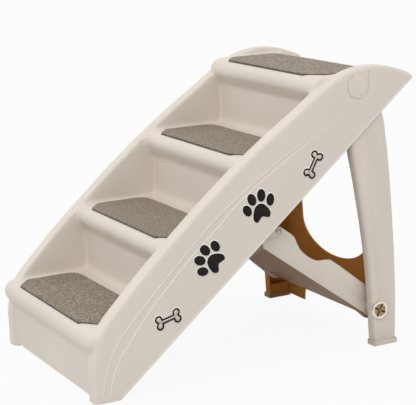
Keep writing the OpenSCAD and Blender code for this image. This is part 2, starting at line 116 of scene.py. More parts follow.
def area_lamp(name, place, aim, size, power, colour):
    """A round lamp at place that shines at aim."""
    lamp = bpy.data.objects.new(name, bpy.data.lights.new(name, "AREA"))
    lamp.data.shape = "DISK"
    lamp.data.size = size
    lamp.data.energy = power
    lamp.data.color = colour
    lamp.location = place
    lamp.rotation_euler = (Vector(place) - Vector(aim)).to_track_quat("Z", "Y").to_euler()
    scene.collection.objects.link(lamp)


floor_bm = bmesh.new()
bmesh.ops.create_grid(floor_bm, x_segments=1, y_segments=1, size=floor_size)
floor_mesh = bpy.data.meshes.new("floor")
floor_bm.to_mesh(floor_mesh)
floor_bm.free()
floor = bpy.data.objects.new("floor", floor_mesh)
scene.collection.objects.link(floor)

floor_mat, nodes, links = node_material("pale_floor")
seen = sees_white(nodes, links, ["Is Camera Ray", "Is Glossy Ray", "Is Transmission Ray"])
share = add_node(nodes, "Math", {1: floor_glow_share})
share.operation = "MULTIPLY"
glow = add_node(nodes, "Emission", {"Color": (1, 1, 1, 1), "Strength": 1})
paint = add_node(nodes, "BsdfDiffuse", {"Color": floor_white})
mix = add_node(nodes, "MixShader")
out = add_node(nodes, "OutputMaterial")
join(
    links, (seen, 0, share, 0), (share, 0, mix, "Fac"), (paint, 0, mix, 1), (glow, 0, mix, 2),
    (mix, 0, out, "Surface"))
floor.data.materials.append(floor_mat)

world = bpy.data.worlds.new("studio")
scene.world = world
world.use_nodes = True
nodes, links = world.node_tree.nodes, world.node_tree.links
nodes.clear()
seen = sees_white(nodes, links, ["Is Camera Ray", "Is Transmission Ray"])
room = add_node(nodes, "Background", {"Color": room_tint, "Strength": world_level})
white = add_node(nodes, "Background", {"Strength": 1})
mix = add_node(nodes, "MixShader")
out = add_node(nodes, "OutputWorld")
join(links, (seen, 0, mix, "Fac"), (room, 0, mix, 1), (white, 0, mix, 2), (mix, 0, out, "Surface"))

area_lamp("front_lamp", (0.5, -2.0, 2.5), (0, 0, 0.25), 1.4, 8, (1, 0.995, 0.985))
area_lamp("corner_lamp", (1.5, -1.1, 1.9), (0, 0, 0.3), 1.0, 7.5, (1, 0.98, 0.95))
scene.view_settings.view_transform = "Standard"

# Stair body: one blow-moulded flight of warm white polypropylene, open underneath. It is formed as a
# solid mass, softened everywhere as a mould does, cut along its lower edges and given its 3 mm wall.
half_w = 197.5 * mm
rail_w = 27 * mm
inner_half_w = half_w - rail_w
wall = 3 * mm
step_count = 4
step_rise = 123.5 * mm
step_run = 147 * mm
climb_y = step_count * step_run
climb_z = step_count * step_rise
nose_r = 19.5 * mm
nose_reach = 15.5 * mm
nose_start = 218
nose_fall = 1.45 * nose_r
nose_end_x = inner_half_w - 8 * mm
nose_half_l = 32 * mm
nose_blunt = 4
riser_y0 = 7.5 * mm
corner_r = 12 * mm
nose_y0 = riser_y0 - nose_reach + nose_r
platform_y = 0.992 * climb_y
lip_h = 22 * mm
lip_zone_d = 8 * mm
riser_lift = 5.5 * mm
riser_zone_d = 15 * mm
riser_zone_h = 0.3 * step_rise
open_x = inner_half_w - 7 * mm
low_z = 1 * mm
below = 30 * mm
rail_shares = [
    (0, -0.06), (0, 0.07), (0, 0.138), (0.013, 0.2), (0.037, 0.262), (0.105, 0.346),
    (0.174, 0.427), (0.262, 0.52), (0.366, 0.627), (0.468, 0.724), (0.572, 0.814),
    (0.667, 0.889), (0.745, 0.953), (0.818, 1.001), (0.87, 1.021), (0.925, 1.028), (0.986, 1.02),
    (1.04, 1.0), (1.069, 0.985), (1.082, 0.962), (1.1, 0.91)]
rail_foot_share = 0.0777
rail_tip_shares = (1.076, 0.975)
mid_y = (nose_y0 - nose_r + rail_tip_shares[0] * climb_y) / 2
voxel = 2.6 * mm
soften_steps = 14
seam_reach = 3 * voxel
cut_snap = 1e-6
shell_flat_angle = math.radians(0.6)


def curve(points, parts=4):
    """A smooth line through points, each stretch cut into equal parts."""
    points = [Vector(p) for p in points]
    line = []
    for i in range(len(points) - 1):
        a = points[max(i - 1, 0)]
        b, c = points[i], points[i + 1]
        d = points[min(i + 2, len(points) - 1)]
        for k in range(parts):
            t = k / parts
            line.append(0.5 * (2 * b + (c - a) * t + (2 * a - 5 * b + 4 * c - d) * t * t
                               + (3 * b - a - 3 * c + d) * t ** 3))
    return line + [points[-1]]


def arc(centre, r, start, stop, parts):
    """Points of a round stretch in (y, z), with the angles in degrees from +y."""
    turns = [math.radians(start + (stop - start) * k / parts) for k in range(parts + 1)]
    return [Vector((centre[0] + r * math.cos(a), centre[1] + r * math.sin(a))) for a in turns]


def extrude(bm, faces, vec):
    """Extrudes faces of bm by vec."""
    made = bmesh.ops.extrude_face_region(bm, geom=faces)["geom"]
    bmesh.ops.translate(bm, verts=[v for v in made if isinstance(v, bmesh.types.BMVert)], vec=vec)


def side_plate(bm, outline, x0, x1):
    """A plate from x0 to x1 with the outline (y, z), measured from the front of the rails."""
    ring = [bm.verts.new((x0, p[0] - mid_y, p[1])) for p in outline]
    extrude(bm, [bm.faces.new(ring)], (x1 - x0, 0, 0))


def finished(name, bm, materials, body):
    """A smooth-shaded piece from bm, which rides on body."""
    bmesh.ops.recalc_face_normals(bm, faces=bm.faces)
    mesh = bpy.data.meshes.new(name)
    bm.to_mesh(mesh)
    bm.free()
    for poly in mesh.polygons:
        poly.use_smooth = True
    piece = bpy.data.objects.new(name, mesh)
    scene.collection.objects.link(piece)
    for material in materials:
        mesh.materials.append(material)
    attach(piece, body)
    return piece


def applied(piece):
    """Turns a piece's modifiers into its mesh."""
    evaluated = piece.evaluated_get(bpy.context.evaluated_depsgraph_get())
    mesh = bpy.data.meshes.new_from_object(evaluated)
    piece.modifiers.clear()
    piece.data = mesh


def surface(name, bump_inputs, shader_inputs):
    """A new material whose shader takes a bump, with a node that gives object coordinates."""
    mat, nodes, links = node_material(name)
    place = add_node(nodes, "TexCoord")
    bump = add_node(nodes, "Bump", bump_inputs)
    shader = add_node(nodes, "BsdfPrincipled", shader_inputs)
    out = add_node(nodes, "OutputMaterial")
    join(links, (bump, "Normal", shader, "Normal"), (shader, "BSDF", out, "Surface"))
    return mat, nodes, links, place, bump, shader


def colour_ramp(nodes, stops):
    """A ramp through stops, each a position and a colour."""
    ramp = add_node(nodes, "ValToRGB")
    elements = ramp.color_ramp.elements
    for element, (position, colour) in zip(elements, (stops[0], stops[-1])):
        element.position = position
        element.color = (*colour, 1)
    for position, colour in stops[1:-1]:
        elements.new(position).color = (*colour, 1)
    return ramp


def moulded_plastic(name, colour, shade, grain_scale=900, specular=0.5):
    """Satin moulded plastic: cloudy colour, a fine grain and slightly uneven gloss."""
    mat, nodes, links, place, bump, shader = surface(
        name, {"Strength": 0.12, "Distance": 0.2 * mm}, {"IOR": 1.49, "Specular IOR Level": specular})
    cloud = add_node(nodes, "TexNoise", {"Scale": 6, "Detail": 4})
    tint = colour_ramp(nodes, [(0.3, shade), (0.7, colour)])
    gloss_cloud = add_node(nodes, "TexNoise", {"Scale": 18})
    gloss = add_node(nodes, "MapRange", {"To Min": 0.38, "To Max": 0.52})
    grain = add_node(nodes, "TexNoise", {"Scale": grain_scale, "Detail": 2})
    for texture in (cloud, gloss_cloud, grain):
        join(links, (place, "Object", texture, "Vector"))
    join(
        links, (cloud, "Fac", tint, "Fac"), (tint, "Color", shader, "Base Color"),
        (gloss_cloud, "Fac", gloss, "Value"), (gloss, "Result", shader, "Roughness"),
        (grain, "Fac", bump, "Height"))
    return mat


warm_white = moulded_plastic("warm_white_plastic", (0.72, 0.66, 0.595), (0.69, 0.63, 0.565))

step_line = [Vector((riser_y0, -below))]
for step in range(step_count):
    tread_z = (step + 1) * step_rise
    riser_y = riser_y0 + step * step_run
    nose_at = (nose_y0 + step * step_run, tread_z - nose_r)
    step_line.append(Vector((riser_y, nose_at[1] - nose_fall)))
    step_line += arc(nose_at, nose_r, nose_start, 90, 14)
    if step < step_count - 1:
        step_line += arc((riser_y + step_run - corner_r, tread_z + corner_r), corner_r, 270, 360, 5)
step_line += [Vector((platform_y, climb_z)), Vector((platform_y, -below))]

mass = bmesh.new()
side_plate(mass, step_line, -inner_half_w - rail_w / 2, inner_half_w + rail_w / 2)
rail_line = curve([(y * climb_y, z * climb_z) for y, z in rail_shares])
rail_line += [Vector((rail_line[-1][0], -below))]
for side in (-1, 1):
    side_plate(mass, rail_line, side * inner_half_w, side * half_w)
    nose_end = bmesh.ops.create_uvsphere(mass, u_segments=32, v_segments=16, radius=1)
    for vert in nose_end["verts"]:
        across = math.hypot(vert.co.y, vert.co.z)
        vert.co /= (abs(vert.co.x) ** nose_blunt + across ** nose_blunt) ** (1 / nose_blunt)
    bmesh.ops.scale(mass, vec=(nose_half_l, nose_r, nose_r), verts=nose_end["verts"])
    bmesh.ops.translate(
        mass, verts=nose_end["verts"], vec=(side * nose_end_x, nose_y0 - mid_y, step_rise - nose_r))
stair_shell = finished("stair_shell", mass, [warm_white], "stairs")
remesh = stair_shell.modifiers.new("one_mass", "REMESH")
remesh.mode = "VOXEL"
remesh.voxel_size = voxel
soften = stair_shell.modifiers.new("soften", "SMOOTH")
soften.factor = 0.5
soften.iterations = soften_steps
applied(stair_shell)


def cut(bm, place, away, region=None, drop=True):
    """Cuts the faces of a region with a plane, and drops what lies beyond it unless drop is False."""
    faces = [f for f in bm.faces if region is None or region(f.calc_center_median())]
    parts = dict.fromkeys([*(e for f in faces for e in f.edges), *(v for f in faces for v in f.verts)])
    bmesh.ops.bisect_plane(
        bm, geom=[*parts, *faces], dist=cut_snap, plane_co=place, plane_no=away, clear_outer=drop)


foot_place = Vector((0, rail_foot_share * climb_y - mid_y, low_z))
tip_place = Vector((0, rail_tip_shares[0] * climb_y - mid_y, rail_tip_shares[1] * climb_z))
under_slope = tip_place - foot_place
under_away = Vector((0, under_slope.z, -under_slope.y)).normalized()
shell_bm = bmesh.new()
shell_bm.from_mesh(stair_shell.data)
cut(shell_bm, foot_place, under_away)
cut(shell_bm, (0, 0, low_z), (0, 0, -1))


def at_riser(p):
    """True at the foot of the front riser, between the rails."""
    return abs(p.x) < open_x and p.y < riser_y0 - mid_y + riser_zone_d and p.z < riser_zone_h


def at_lip(p):
    """True at the back of the platform, between the rails."""
    return abs(p.x) < open_x and p.y > platform_y - mid_y - lip_zone_d


for region, level in ((at_riser, riser_lift), (at_lip, climb_z - lip_h)):
    for seam_x in (-open_x, open_x):
        cut(
            shell_bm, (seam_x, 0, 0), (1, 0, 0), lambda p, x=seam_x: abs(p.x - x) < seam_reach,
            drop=False)
    cut(shell_bm, (0, 0, level), (0, 0, -1), region)
bmesh.ops.dissolve_limit(
    shell_bm, angle_limit=shell_flat_angle, verts=shell_bm.verts, edges=shell_bm.edges)
shell_bm.to_mesh(stair_shell.data)
shell_bm.free()
for poly in stair_shell.data.polygons:
    poly.use_smooth = True
thicken = stair_shell.modifiers.new("wall", "SOLIDIFY")
thicken.thickness = wall
thicken.offset = -1
thicken.use_even_offset = True
applied(stair_shell)
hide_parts("stair_body")

# Cuts in the shell: a shallow band down each rail, a round seat for each pivot cap with an open ring
# groove beside it, and a recess in each tread for its carpet pad.
crease_d = 0.8 * mm
crease_out_shares = [
    (0.024, 0.03), (0.034, 0.085), (0.058, 0.163), (0.085, 0.213), (0.113, 0.248), (0.17, 0.319),
    (0.274, 0.438), (0.389, 0.561), (0.472, 0.634), (0.604, 0.735), (0.723, 0.806), (0.8, 0.857),
    (0.85, 0.884)]
crease_in_shares = [
    (0.046, 0.03), (0.061, 0.094), (0.084, 0.151), (0.11, 0.189), (0.142, 0.238), (0.192, 0.307),
    (0.306, 0.441), (0.404, 0.54), (0.47, 0.61), (0.604, 0.717), (0.723, 0.797), (0.8, 0.853),
    (0.85, 0.882)]
pivot_y = 0.8784 * climb_y
pivot_z = 0.9595 * climb_z
pivot_cap_r = 21.5 * mm
pivot_cap_gap = 0.08 * mm
seat_sides = 64
groove_r = 1.3 * mm
ring_turns = (118, 288)
ring_end_turns = (312, 360)
ring_tail = 0.4 * pivot_cap_r
sharp_angle = math.radians(32)
pad_recess = 2 * mm
pad_gap = 0.3 * mm
pad_half_w = inner_half_w - 8 * mm
pad_d = 124 * mm
pad_t = 4 * mm
pad_cut_w = 32 * mm
pad_cut_d = 26 * mm
pad_back_shares = [(0, 0.87), (0.28, 0.97), (1, 1)]
pad_front_y = nose_y0 - nose_r + 0.76 * nose_reach
overrun = 1 * mm


def pad_outline(gap=0):
    """Corners of a pad as (x, y), from the middle of its front edge."""
    w, d = pad_half_w + gap, pad_d + gap
    right = [(w - pad_cut_w, -gap), (w, pad_cut_d)]
    right += [(w - u * pad_cut_w, v * d) for u, v in pad_back_shares]
    return right + [(-x, y) for x, y in reversed(right)]


def swept(name, path, r, rounding=2, fade=0):
    """A mesh of a round bar of radius r along path, which thins to a half over its last points."""
    line = bpy.data.curves.new(name, "CURVE")
    line.dimensions = "3D"
    line.bevel_depth = r
    line.bevel_resolution = rounding
    line.use_fill_caps = True
    spline = line.splines.new("POLY")
    spline.points.add(len(path) - 1)
    for i, place in enumerate(path):
        left = len(path) - 1 - i
        spline.points[i].co = (*place, 1)
        spline.points[i].radius = min(1, 0.5 + 0.5 * left / fade) if fade else 1
    holder = bpy.data.objects.new(name, line)
    scene.collection.objects.link(holder)
    mesh = bpy.data.meshes.new_from_object(holder.evaluated_get(bpy.context.evaluated_depsgraph_get()))
    bpy.data.objects.remove(holder)
    return mesh


def cut_out(piece, cutter_bm):
    """Takes the closed shapes in cutter_bm out of piece."""
    bmesh.ops.recalc_face_normals(cutter_bm, faces=cutter_bm.faces)
    mesh = bpy.data.meshes.new("cutter")
    cutter_bm.to_mesh(mesh)
    cutter_bm.free()
    cutter = bpy.data.objects.new("cutter", mesh)
    scene.collection.objects.link(cutter)
    boolean = piece.modifiers.new("cut", "BOOLEAN")
    boolean.operation = "DIFFERENCE"
    boolean.solver = "EXACT"
    boolean.object = cutter
    applied(piece)
    bpy.data.objects.remove(cutter)


crease_lines = [
    curve([(y * climb_y, z * climb_z) for y, z in shares])
    for shares in (crease_out_shares, crease_in_shares)]
crease_ring = crease_lines[0] + crease_lines[1][::-1]
seat_ring = arc(
    (pivot_y, pivot_z), pivot_cap_r + pivot_cap_gap, 0, 360 - 360 / seat_sides, seat_sides - 1)
pockets = bmesh.new()
for side in (-1, 1):
    side_plate(pockets, crease_ring, side * (half_w - crease_d), side * (half_w + overrun))
    side_plate(pockets, seat_ring, side * (half_w - wall - overrun), side * (half_w + overrun))
for step in range(step_count):
    recess_y = pad_front_y + step * step_run - mid_y
    recess_z = (step + 1) * step_rise - pad_recess
    ring = [pockets.verts.new((x, recess_y + y, recess_z)) for x, y in pad_outline(pad_gap)]
    extrude(pockets, [pockets.faces.new(ring)], (0, 0, pad_recess + overrun))
cut_out(stair_shell, pockets)

ring_end_y = pivot_y + pivot_cap_r
ring_paths = [
    arc((pivot_y, pivot_z), pivot_cap_r, *ring_turns, 44),
    arc((pivot_y, pivot_z), pivot_cap_r, *ring_end_turns, 12)
    + [Vector((ring_end_y, pivot_z + k * ring_tail)) for k in range(1, 4)]]


def cut_ring(piece, side):
    """Cuts the open ring line that runs round a pivot cap."""
    groove = bmesh.new()
    for path in ring_paths:
        groove.from_mesh(swept("ring", [(side * half_w, y - mid_y, z) for y, z in path], groove_r))
    cut_out(piece, groove)


for side in (-1, 1):
    cut_ring(stair_shell, side)
stair_shell.data.set_sharp_from_angle(angle=sharp_angle)

# Beads on the rails: a fine raised line on either side of the band, and one along the lower edge.
# They are moulded with the rail, and are a little lighter than it, which is a painted highlight.
bead_r = 1 * mm
bead_sink = 0.5 * mm
bead_rounding = 3
bead_fade = 16
rim_set = 2.2 * mm
rim_start = foot_place - under_away * rim_set + 0.004 * under_slope
rim_stop = tip_place - under_away * rim_set - 0.02 * under_slope
beads = bmesh.new()
for side in (-1, 1):
    x = side * (half_w - bead_sink)
    for line in crease_lines:
        path = [(x, y - mid_y, z) for y, z in line]
        beads.from_mesh(swept("bead", path, bead_r, bead_rounding, bead_fade))
    rim_path = [(x, rim_start.y, rim_start.z), (x, rim_stop.y, rim_stop.z)]
    beads.from_mesh(swept("bead", rim_path, bead_r, bead_rounding))
# Painted highlight: the beads are coloured lighter than the rail.
bead_highlight = moulded_plastic("bead_highlight_plastic", (0.85, 0.8, 0.745), (0.81, 0.76, 0.7))
finished("rail_beads", beads, [bead_highlight], "stairs")

# Inside the mould: a lug that carries each pivot pin, a floor over each front foot, and the bosses
# for the latch hooks behind the third riser.
lug_r = 20 * mm
lug_bite = 0.2 * mm
foot_pad_t = 3 * mm
boss_r = 5 * mm
boss_l = 6 * mm + wall / 2
boss_in = 10 * mm
boss_shares = (0.27, 0.73)
hook_foot_h = 44 * mm
inside_edge_r = 0.5 * mm
inside = bmesh.new()
for side in (-1, 1):
    lug_top = climb_z - wall / 2
    lug_line = arc((pivot_y, pivot_z), lug_r, 180, 360, 24)
    lug_line += [Vector((pivot_y + lug_r, lug_top)), Vector((pivot_y - lug_r, lug_top))]
    side_plate(inside, lug_line, side * (inner_half_w + lug_bite), side * (inner_half_w + wall))
    floor_z = low_z + foot_pad_t
    foot_end = rail_foot_share * climb_y - wall / 2
    floor_line = [
        (wall / 2, floor_z), (foot_end, floor_z), (foot_end, floor_z + wall), (wall / 2, floor_z + wall)]
    side_plate(inside, floor_line, side * (inner_half_w + wall / 2), side * (half_w - wall / 2))
    hook_lo, hook_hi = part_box("latch_hook_right" if side > 0 else "latch_hook_left")
    boss_x = hook_lo[0] + boss_in if side > 0 else hook_hi[0] - boss_in
    for share in boss_shares:
        boss = bmesh.ops.create_cone(
            inside, cap_ends=True, segments=32, radius1=boss_r, radius2=boss_r, depth=boss_l)
        bmesh.ops.rotate(inside, verts=boss["verts"], matrix=Matrix.Rotation(math.pi / 2, 3, "X"))
        bmesh.ops.translate(inside, verts=boss["verts"], vec=(
            boss_x, hook_lo[1] - boss_l / 2, hook_hi[2] - hook_foot_h * (1 - share)))
inside_piece = finished("stair_inside", inside, [warm_white], "stairs")


def rounded(piece, width, segments=2):
    """Rounds a piece's sharp edges as a mould does."""
    bevel = piece.modifiers.new("round", "BEVEL")
    bevel.width = width
    bevel.segments = segments
    bevel.limit_method = "ANGLE"
    bevel.angle_limit = math.radians(30)
    bevel.harden_normals = True


rounded(inside_piece, inside_edge_r)

# Tread pads: needle-punched carpet, grey-brown with lighter flecks, heat-cut and glued into the recess
# of each tread, with a painted shade on the sides. The front corners are cut off.
pile_cell = 3 * mm
pile_rise = 0.35 * mm
pile_wave_scale = 160
pad_round = 9 * mm
pad_round_steps = 3
pad_rim_r = 1.2 * mm
cells_x = round(2 * pad_half_w / pile_cell)
cells_y = round(pad_d / pile_cell)


def speckled_carpet(name, dark, middle, light):
    """Looped pile: flecks of three shades, tufts in the bump and a soft sheen."""
    mat, nodes, links, place, bump, shader = surface(
        name, {"Strength": 0.9, "Distance": 0.8 * mm},
        {"Roughness": 0.95, "Sheen Weight": 0.25, "Sheen Roughness": 0.5, "Specular IOR Level": 0.2})
    bump.invert = True
    fleck = add_node(nodes, "TexNoise", {"Scale": 330, "Detail": 3, "Roughness": 0.7})
    tones = colour_ramp(nodes, [(0.4, dark), (0.5, middle), (0.62, light)])
    drift = add_node(nodes, "TexNoise", {"Scale": 14, "Detail": 2})
    drift_range = add_node(nodes, "MapRange", {"To Min": 0.88, "To Max": 1.1})
    shade = add_node(nodes, "VectorMath")
    shade.operation = "SCALE"
    tuft = add_node(nodes, "TexVoronoi", {"Scale": 620})
    for texture in (fleck, drift, tuft):
        join(links, (place, "Object", texture, "Vector"))
    join(
        links, (fleck, "Fac", tones, "Fac"), (drift, "Fac", drift_range, "Value"),
        (tones, "Color", shade, 0), (drift_range, "Result", shade, "Scale"),
        (shade, "Vector", shader, "Base Color"), (tuft, "Distance", bump, "Height"))
    return mat


carpet = speckled_carpet(
    "speckled_carpet", (0.092, 0.069, 0.046), (0.215, 0.17, 0.122), (0.42, 0.345, 0.252))
# Painted shade: a darker carpet for the pads' sides and rims.
carpet_side_shade = speckled_carpet(
    "carpet_side_painted_shade", (0.05, 0.04, 0.032), (0.09, 0.073, 0.058), (0.14, 0.115, 0.09))


def edge_lines(outline, r, steps):
    """Planes (place, outward direction) round a convex outline whose corners are rounded to r."""
    lines = []
    count = len(outline)
    for i in range(count):
        a, b, c = (Vector(outline[(i + k) % count]) for k in range(3))
        out_1 = Vector(((b - a).y, -(b - a).x)).normalized()
        out_2 = Vector(((c - b).y, -(c - b).x)).normalized()
        lines.append((b, out_1))
        half = (out_1 + out_2).normalized()
        centre = b - half * (r / half.dot(out_1))
        for k in range(1, steps + 1):
            away = out_1.lerp(out_2, k / (steps + 1)).normalized()
            lines.append((centre + away * r, away))
    return lines


for step in range(step_count):
    pad_bm = bmesh.new()
    bmesh.ops.create_grid(pad_bm, x_segments=cells_x, y_segments=cells_y, size=0.5)
    bmesh.ops.scale(pad_bm, vec=(2 * pad_half_w, pad_d, 1), verts=pad_bm.verts)
    bmesh.ops.translate(pad_bm, vec=(0, pad_d / 2, 0), verts=pad_bm.verts)
    for place, away in edge_lines(pad_outline(), pad_round, pad_round_steps):
        cut(pad_bm, (*place, 0), (*away, 0))
    extrude(pad_bm, list(pad_bm.faces), (0, 0, pad_t))
    pad_bm.normal_update()
    rim_edges = [
        e for e in pad_bm.edges
        if min(v.co.z for v in e.verts) > pad_t / 2 and any(abs(f.normal.z) < 0.5 for f in e.link_faces)]
    bmesh.ops.bevel(
        pad_bm, geom=rim_edges, offset=pad_rim_r, offset_type="OFFSET", segments=3, profile=0.5,
        affect="EDGES", material=-1)
    for vert in pad_bm.verts:
        if vert.co.z > pad_t * 0.98:
            wave = noise.noise(Vector((vert.co.x, vert.co.y, step)) * pile_wave_scale)
            vert.co.z -= pile_rise * (0.5 + 0.5 * wave)
    pad_bm.normal_update()
    for face in pad_bm.faces:
        # Faces that don't look up take the painted shade.
        face.material_index = 0 if face.normal.z > 0.35 else 1
    bmesh.ops.translate(pad_bm, verts=pad_bm.verts, vec=(
        0, pad_front_y + step * step_run - mid_y, (step + 1) * step_rise - pad_recess))
    pad = finished(f"carpet_pad_{step + 1}", pad_bm, [carpet, carpet_side_shade], "stairs")
    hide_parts(f"tread_pad_{step + 1}")

# Front feet: black rubber blocks pushed up under the fronts of the rails. They lift the rails just
# clear of the floor and keep the flight from sliding.
front_foot_edge_r = 0.8 * mm
node_merge = 0.002 * mm
node_flat_angle = math.radians(0.5)
wide_segments = 6


def rubber(name, colour, dusty):
    """Matt rubber with a dusty bloom and a pebbled skin."""
    mat, nodes, links, place, bump, shader = surface(
        name, {"Strength": 0.25, "Distance": 0.2 * mm}, {"Roughness": 0.72, "Specular IOR Level": 0.35})
    bloom = add_node(nodes, "TexNoise", {"Scale": 45, "Detail": 5})
    tint = colour_ramp(nodes, [(0.35, colour), (0.75, dusty)])
    pebble = add_node(nodes, "TexNoise", {"Scale": 1300})
    for texture in (bloom, pebble):
        join(links, (place, "Object", texture, "Vector"))
    join(
        links, (bloom, "Fac", tint, "Fac"), (tint, "Color", shader, "Base Color"),
        (pebble, "Fac", bump, "Height"))
    return mat


def softened(node, name, width, materials, body, inside=None, segments=2, wide=None):
    """A copy of a node with its edges rounded, and wider where wide gives a radius for an edge.

    Inside gives the number of the material that a face takes.
    """
    bm = bmesh.new()
    bm.from_mesh(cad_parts[node].data)
    bmesh.ops.remove_doubles(bm, verts=bm.verts, dist=node_merge)
    bmesh.ops.dissolve_limit(bm, angle_limit=node_flat_angle, verts=bm.verts, edges=bm.edges)
    bm.normal_update()
    for face in bm.faces:
        face.material_index = int(inside(face)) if inside else 0
    if wide:
        weight = bm.edges.layers.float.new("bevel_weight_edge")
        radii = [wide(edge) for edge in bm.edges]
        widest = max(radii)
        for edge, radius in zip(bm.edges, radii):
            edge[weight] = radius / widest
    piece = finished(name, bm, materials, body)
    if wide:
        turn = piece.modifiers.new("wide_round", "BEVEL")
        turn.width = widest
        turn.segments = wide_segments
        turn.limit_method = "WEIGHT"
        turn.use_clamp_overlap = False
    rounded(piece, width, segments)
    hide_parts(node)
    return piece


black_rubber = rubber("black_rubber", (0.02, 0.02, 0.021), (0.045, 0.044, 0.043))
for side in ("left", "right"):
    softened(
        f"front_foot_pad_{side}", f"front_rubber_{side}", front_foot_edge_r, [black_rubber], "stairs",
        segments=3)

# Stickers: die-cut vinyl with a thin white border. Paws are printed solid black-brown, bones as a
# black outline round a warm white middle.
sticker_t = 0.4 * mm
sticker_border = 1.7 * mm
border_t_share = 0.55
ink_t_share = 0.8
overlap_t_share = 0.02
stickers = [
    ("paw", "low", (0.388, 0.419), 58), ("paw", "high", (0.541, 0.565), 17),
    ("bone", "low", (0.233, 0.25), 14), ("bone", "high", (0.719, 0.706), 61)]
bone_line = 3.2 * mm
bone_len = 47.5 * mm
bone_knob_r = 0.148 * bone_len
bone_shank = 0.097 * bone_len
bone_knob_at = (0.352 * bone_len, 0.127 * bone_len)
paw_size = 63 * mm
toe_sides = 32
toe_shares = [
    (-0.373, 0.222, 0.122, 0.171), (-0.152, 0.449, 0.129, 0.176),
    (0.152, 0.449, 0.129, 0.176), (0.373, 0.222, 0.122, 0.171)]
toe_leans = [20, 11, -11, -20]
heel_shares = [
    (0, 0.259), (-0.119, 0.216), (-0.203, 0.111), (-0.254, 0), (-0.273, -0.103), (-0.235, -0.19),
    (-0.167, -0.213), (-0.095, -0.171), (0, -0.119)]


def print_film(name, colour, rough):
    """Printed vinyl film: slightly mottled ink under a satin coat."""
    mat, nodes, links, place, bump, shader = surface(
        name, {"Strength": 0.08, "Distance": 0.2 * mm}, {"Roughness": rough, "Specular IOR Level": 0.2})
    mottle = add_node(nodes, "TexNoise", {"Scale": 240, "Detail": 3})
    tint = colour_ramp(nodes, [(0, [0.8 * c for c in colour]), (1, [1.15 * c for c in colour])])
    ripple = add_node(nodes, "TexNoise", {"Scale": 60})
    for texture in (mottle, ripple):
        join(links, (place, "Object", texture, "Vector"))
    join(
        links, (mottle, "Fac", tint, "Fac"), (tint, "Color", shader, "Base Color"),
        (ripple, "Fac", bump, "Height"))
    return mat


border_film = print_film("sticker_border_film", (0.9, 0.88, 0.84), 0.4)
dark_film = print_film("sticker_dark_film", (0.012, 0.007, 0.006), 0.6)
middle_film = print_film("sticker_middle_film", (0.69, 0.62, 0.54), 0.42)


def grown(outline, by):
    """A closed outline, run anticlockwise, moved outwards."""
    count = len(outline)
    moved = []
    for i, point in enumerate(outline):
        along = (outline[(i + 1) % count] - outline[i - 1]).normalized()
        moved.append(point + by * Vector((along.y, -along.x)))
    return moved


def paw_outlines(by):
    """Four toes and the heel of a paw, moved outwards by a length."""
    shapes = []
    for (u, v, half_w_share, half_l_share), lean in zip(toe_shares, toe_leans):
        middle = Vector((u, v)) * paw_size
        toe_half_w, toe_half_l = half_w_share * paw_size + by, half_l_share * paw_size + by
        turn = Matrix.Rotation(math.radians(lean), 2)
        shapes.append([
            middle + turn @ Vector((math.cos(a) * toe_half_w, math.sin(a) * toe_half_l))
            for a in (math.tau * k / toe_sides for k in range(toe_sides))])
    half = [(u * paw_size, v * paw_size) for u, v in heel_shares]
    heel = curve(half + [(-u, v) for u, v in half[-2::-1]])[:-1]
    shapes.append(grown(heel, by))
    return shapes


def bone_outline(by):
    """Two knobs at each end of a slim shank, moved outwards by a length or, if negative, inwards."""
    out, inset = max(by, 0), max(-by, 0)
    knob_r = bone_knob_r + out
    shank = bone_shank + out
    low, high = (Vector((bone_knob_at[0], v)) for v in (-bone_knob_at[1], bone_knob_at[1]))
    neck = math.degrees(math.asin((high.y - shank) / knob_r))
    waist = math.degrees(math.asin(high.y / knob_r))
    line = arc(low, knob_r - inset, -180 - neck, waist, 14)
    line_2 = arc(high, knob_r - inset, -waist, 180 + neck, 14)
    if inset:
        neck_low = arc(low, knob_r, -180 - neck, 0, 1)[0]
        neck_high = arc(high, knob_r, 180 + neck, 0, 1)[0]
        notch = arc(low, knob_r, waist, 0, 1)[0]
        line = arc(neck_low, inset, 90, -neck, 4)[:-1] + line
        line += arc(notch, inset, 180 + waist, 180 - waist, 4)[1:-1]
        line_2 += arc(neck_high, inset, neck, -90, 4)[1:]
    else:
        line = line[:-1]
    line += line_2
    return line + [Vector((-p.x, -p.y)) for p in line]


def film_layers(kind):
    """The layers of a sticker from its border inwards, each with its share of the thickness."""
    if kind == "paw":
        return [(paw_outlines(sticker_border), border_t_share), (paw_outlines(0), 1)]
    return [
        ([bone_outline(sticker_border)], border_t_share), ([bone_outline(0)], ink_t_share),
        ([bone_outline(-bone_line)], 1)]


for kind, height, shares, lean in stickers:
    turn = Matrix.Rotation(math.radians(lean), 2)
    middle = Vector((shares[0] * climb_y, shares[1] * climb_z))
    for side, side_name in ((1, "right"), (-1, "left")):
        film = bmesh.new()
        for layer, (outlines, share) in enumerate(film_layers(kind)):
            for n, outline in enumerate(outlines):
                count = len(film.faces)
                top = half_w + sticker_t * (share - overlap_t_share * n)
                side_plate(film, [middle + turn @ p for p in outline], side * half_w, side * top)
                film.faces.ensure_lookup_table()
                for face in film.faces[count:]:
                    face.material_index = layer
        piece = finished(
            f"{kind}_print_{height}_{side_name}", film, [border_film, dark_film, middle_film],
            "stairs")
        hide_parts(f"{kind}_sticker_{height}_{side_name}")

# Upper pivots: moulded pins whose flush caps close the round seats in the rails, each kept by a
# pressed steel ring on its inner end.
cap_edge_r = 0.15 * mm
ring_edge_r = 0.4 * mm
scratch_scales = (40, 1400, 1400)


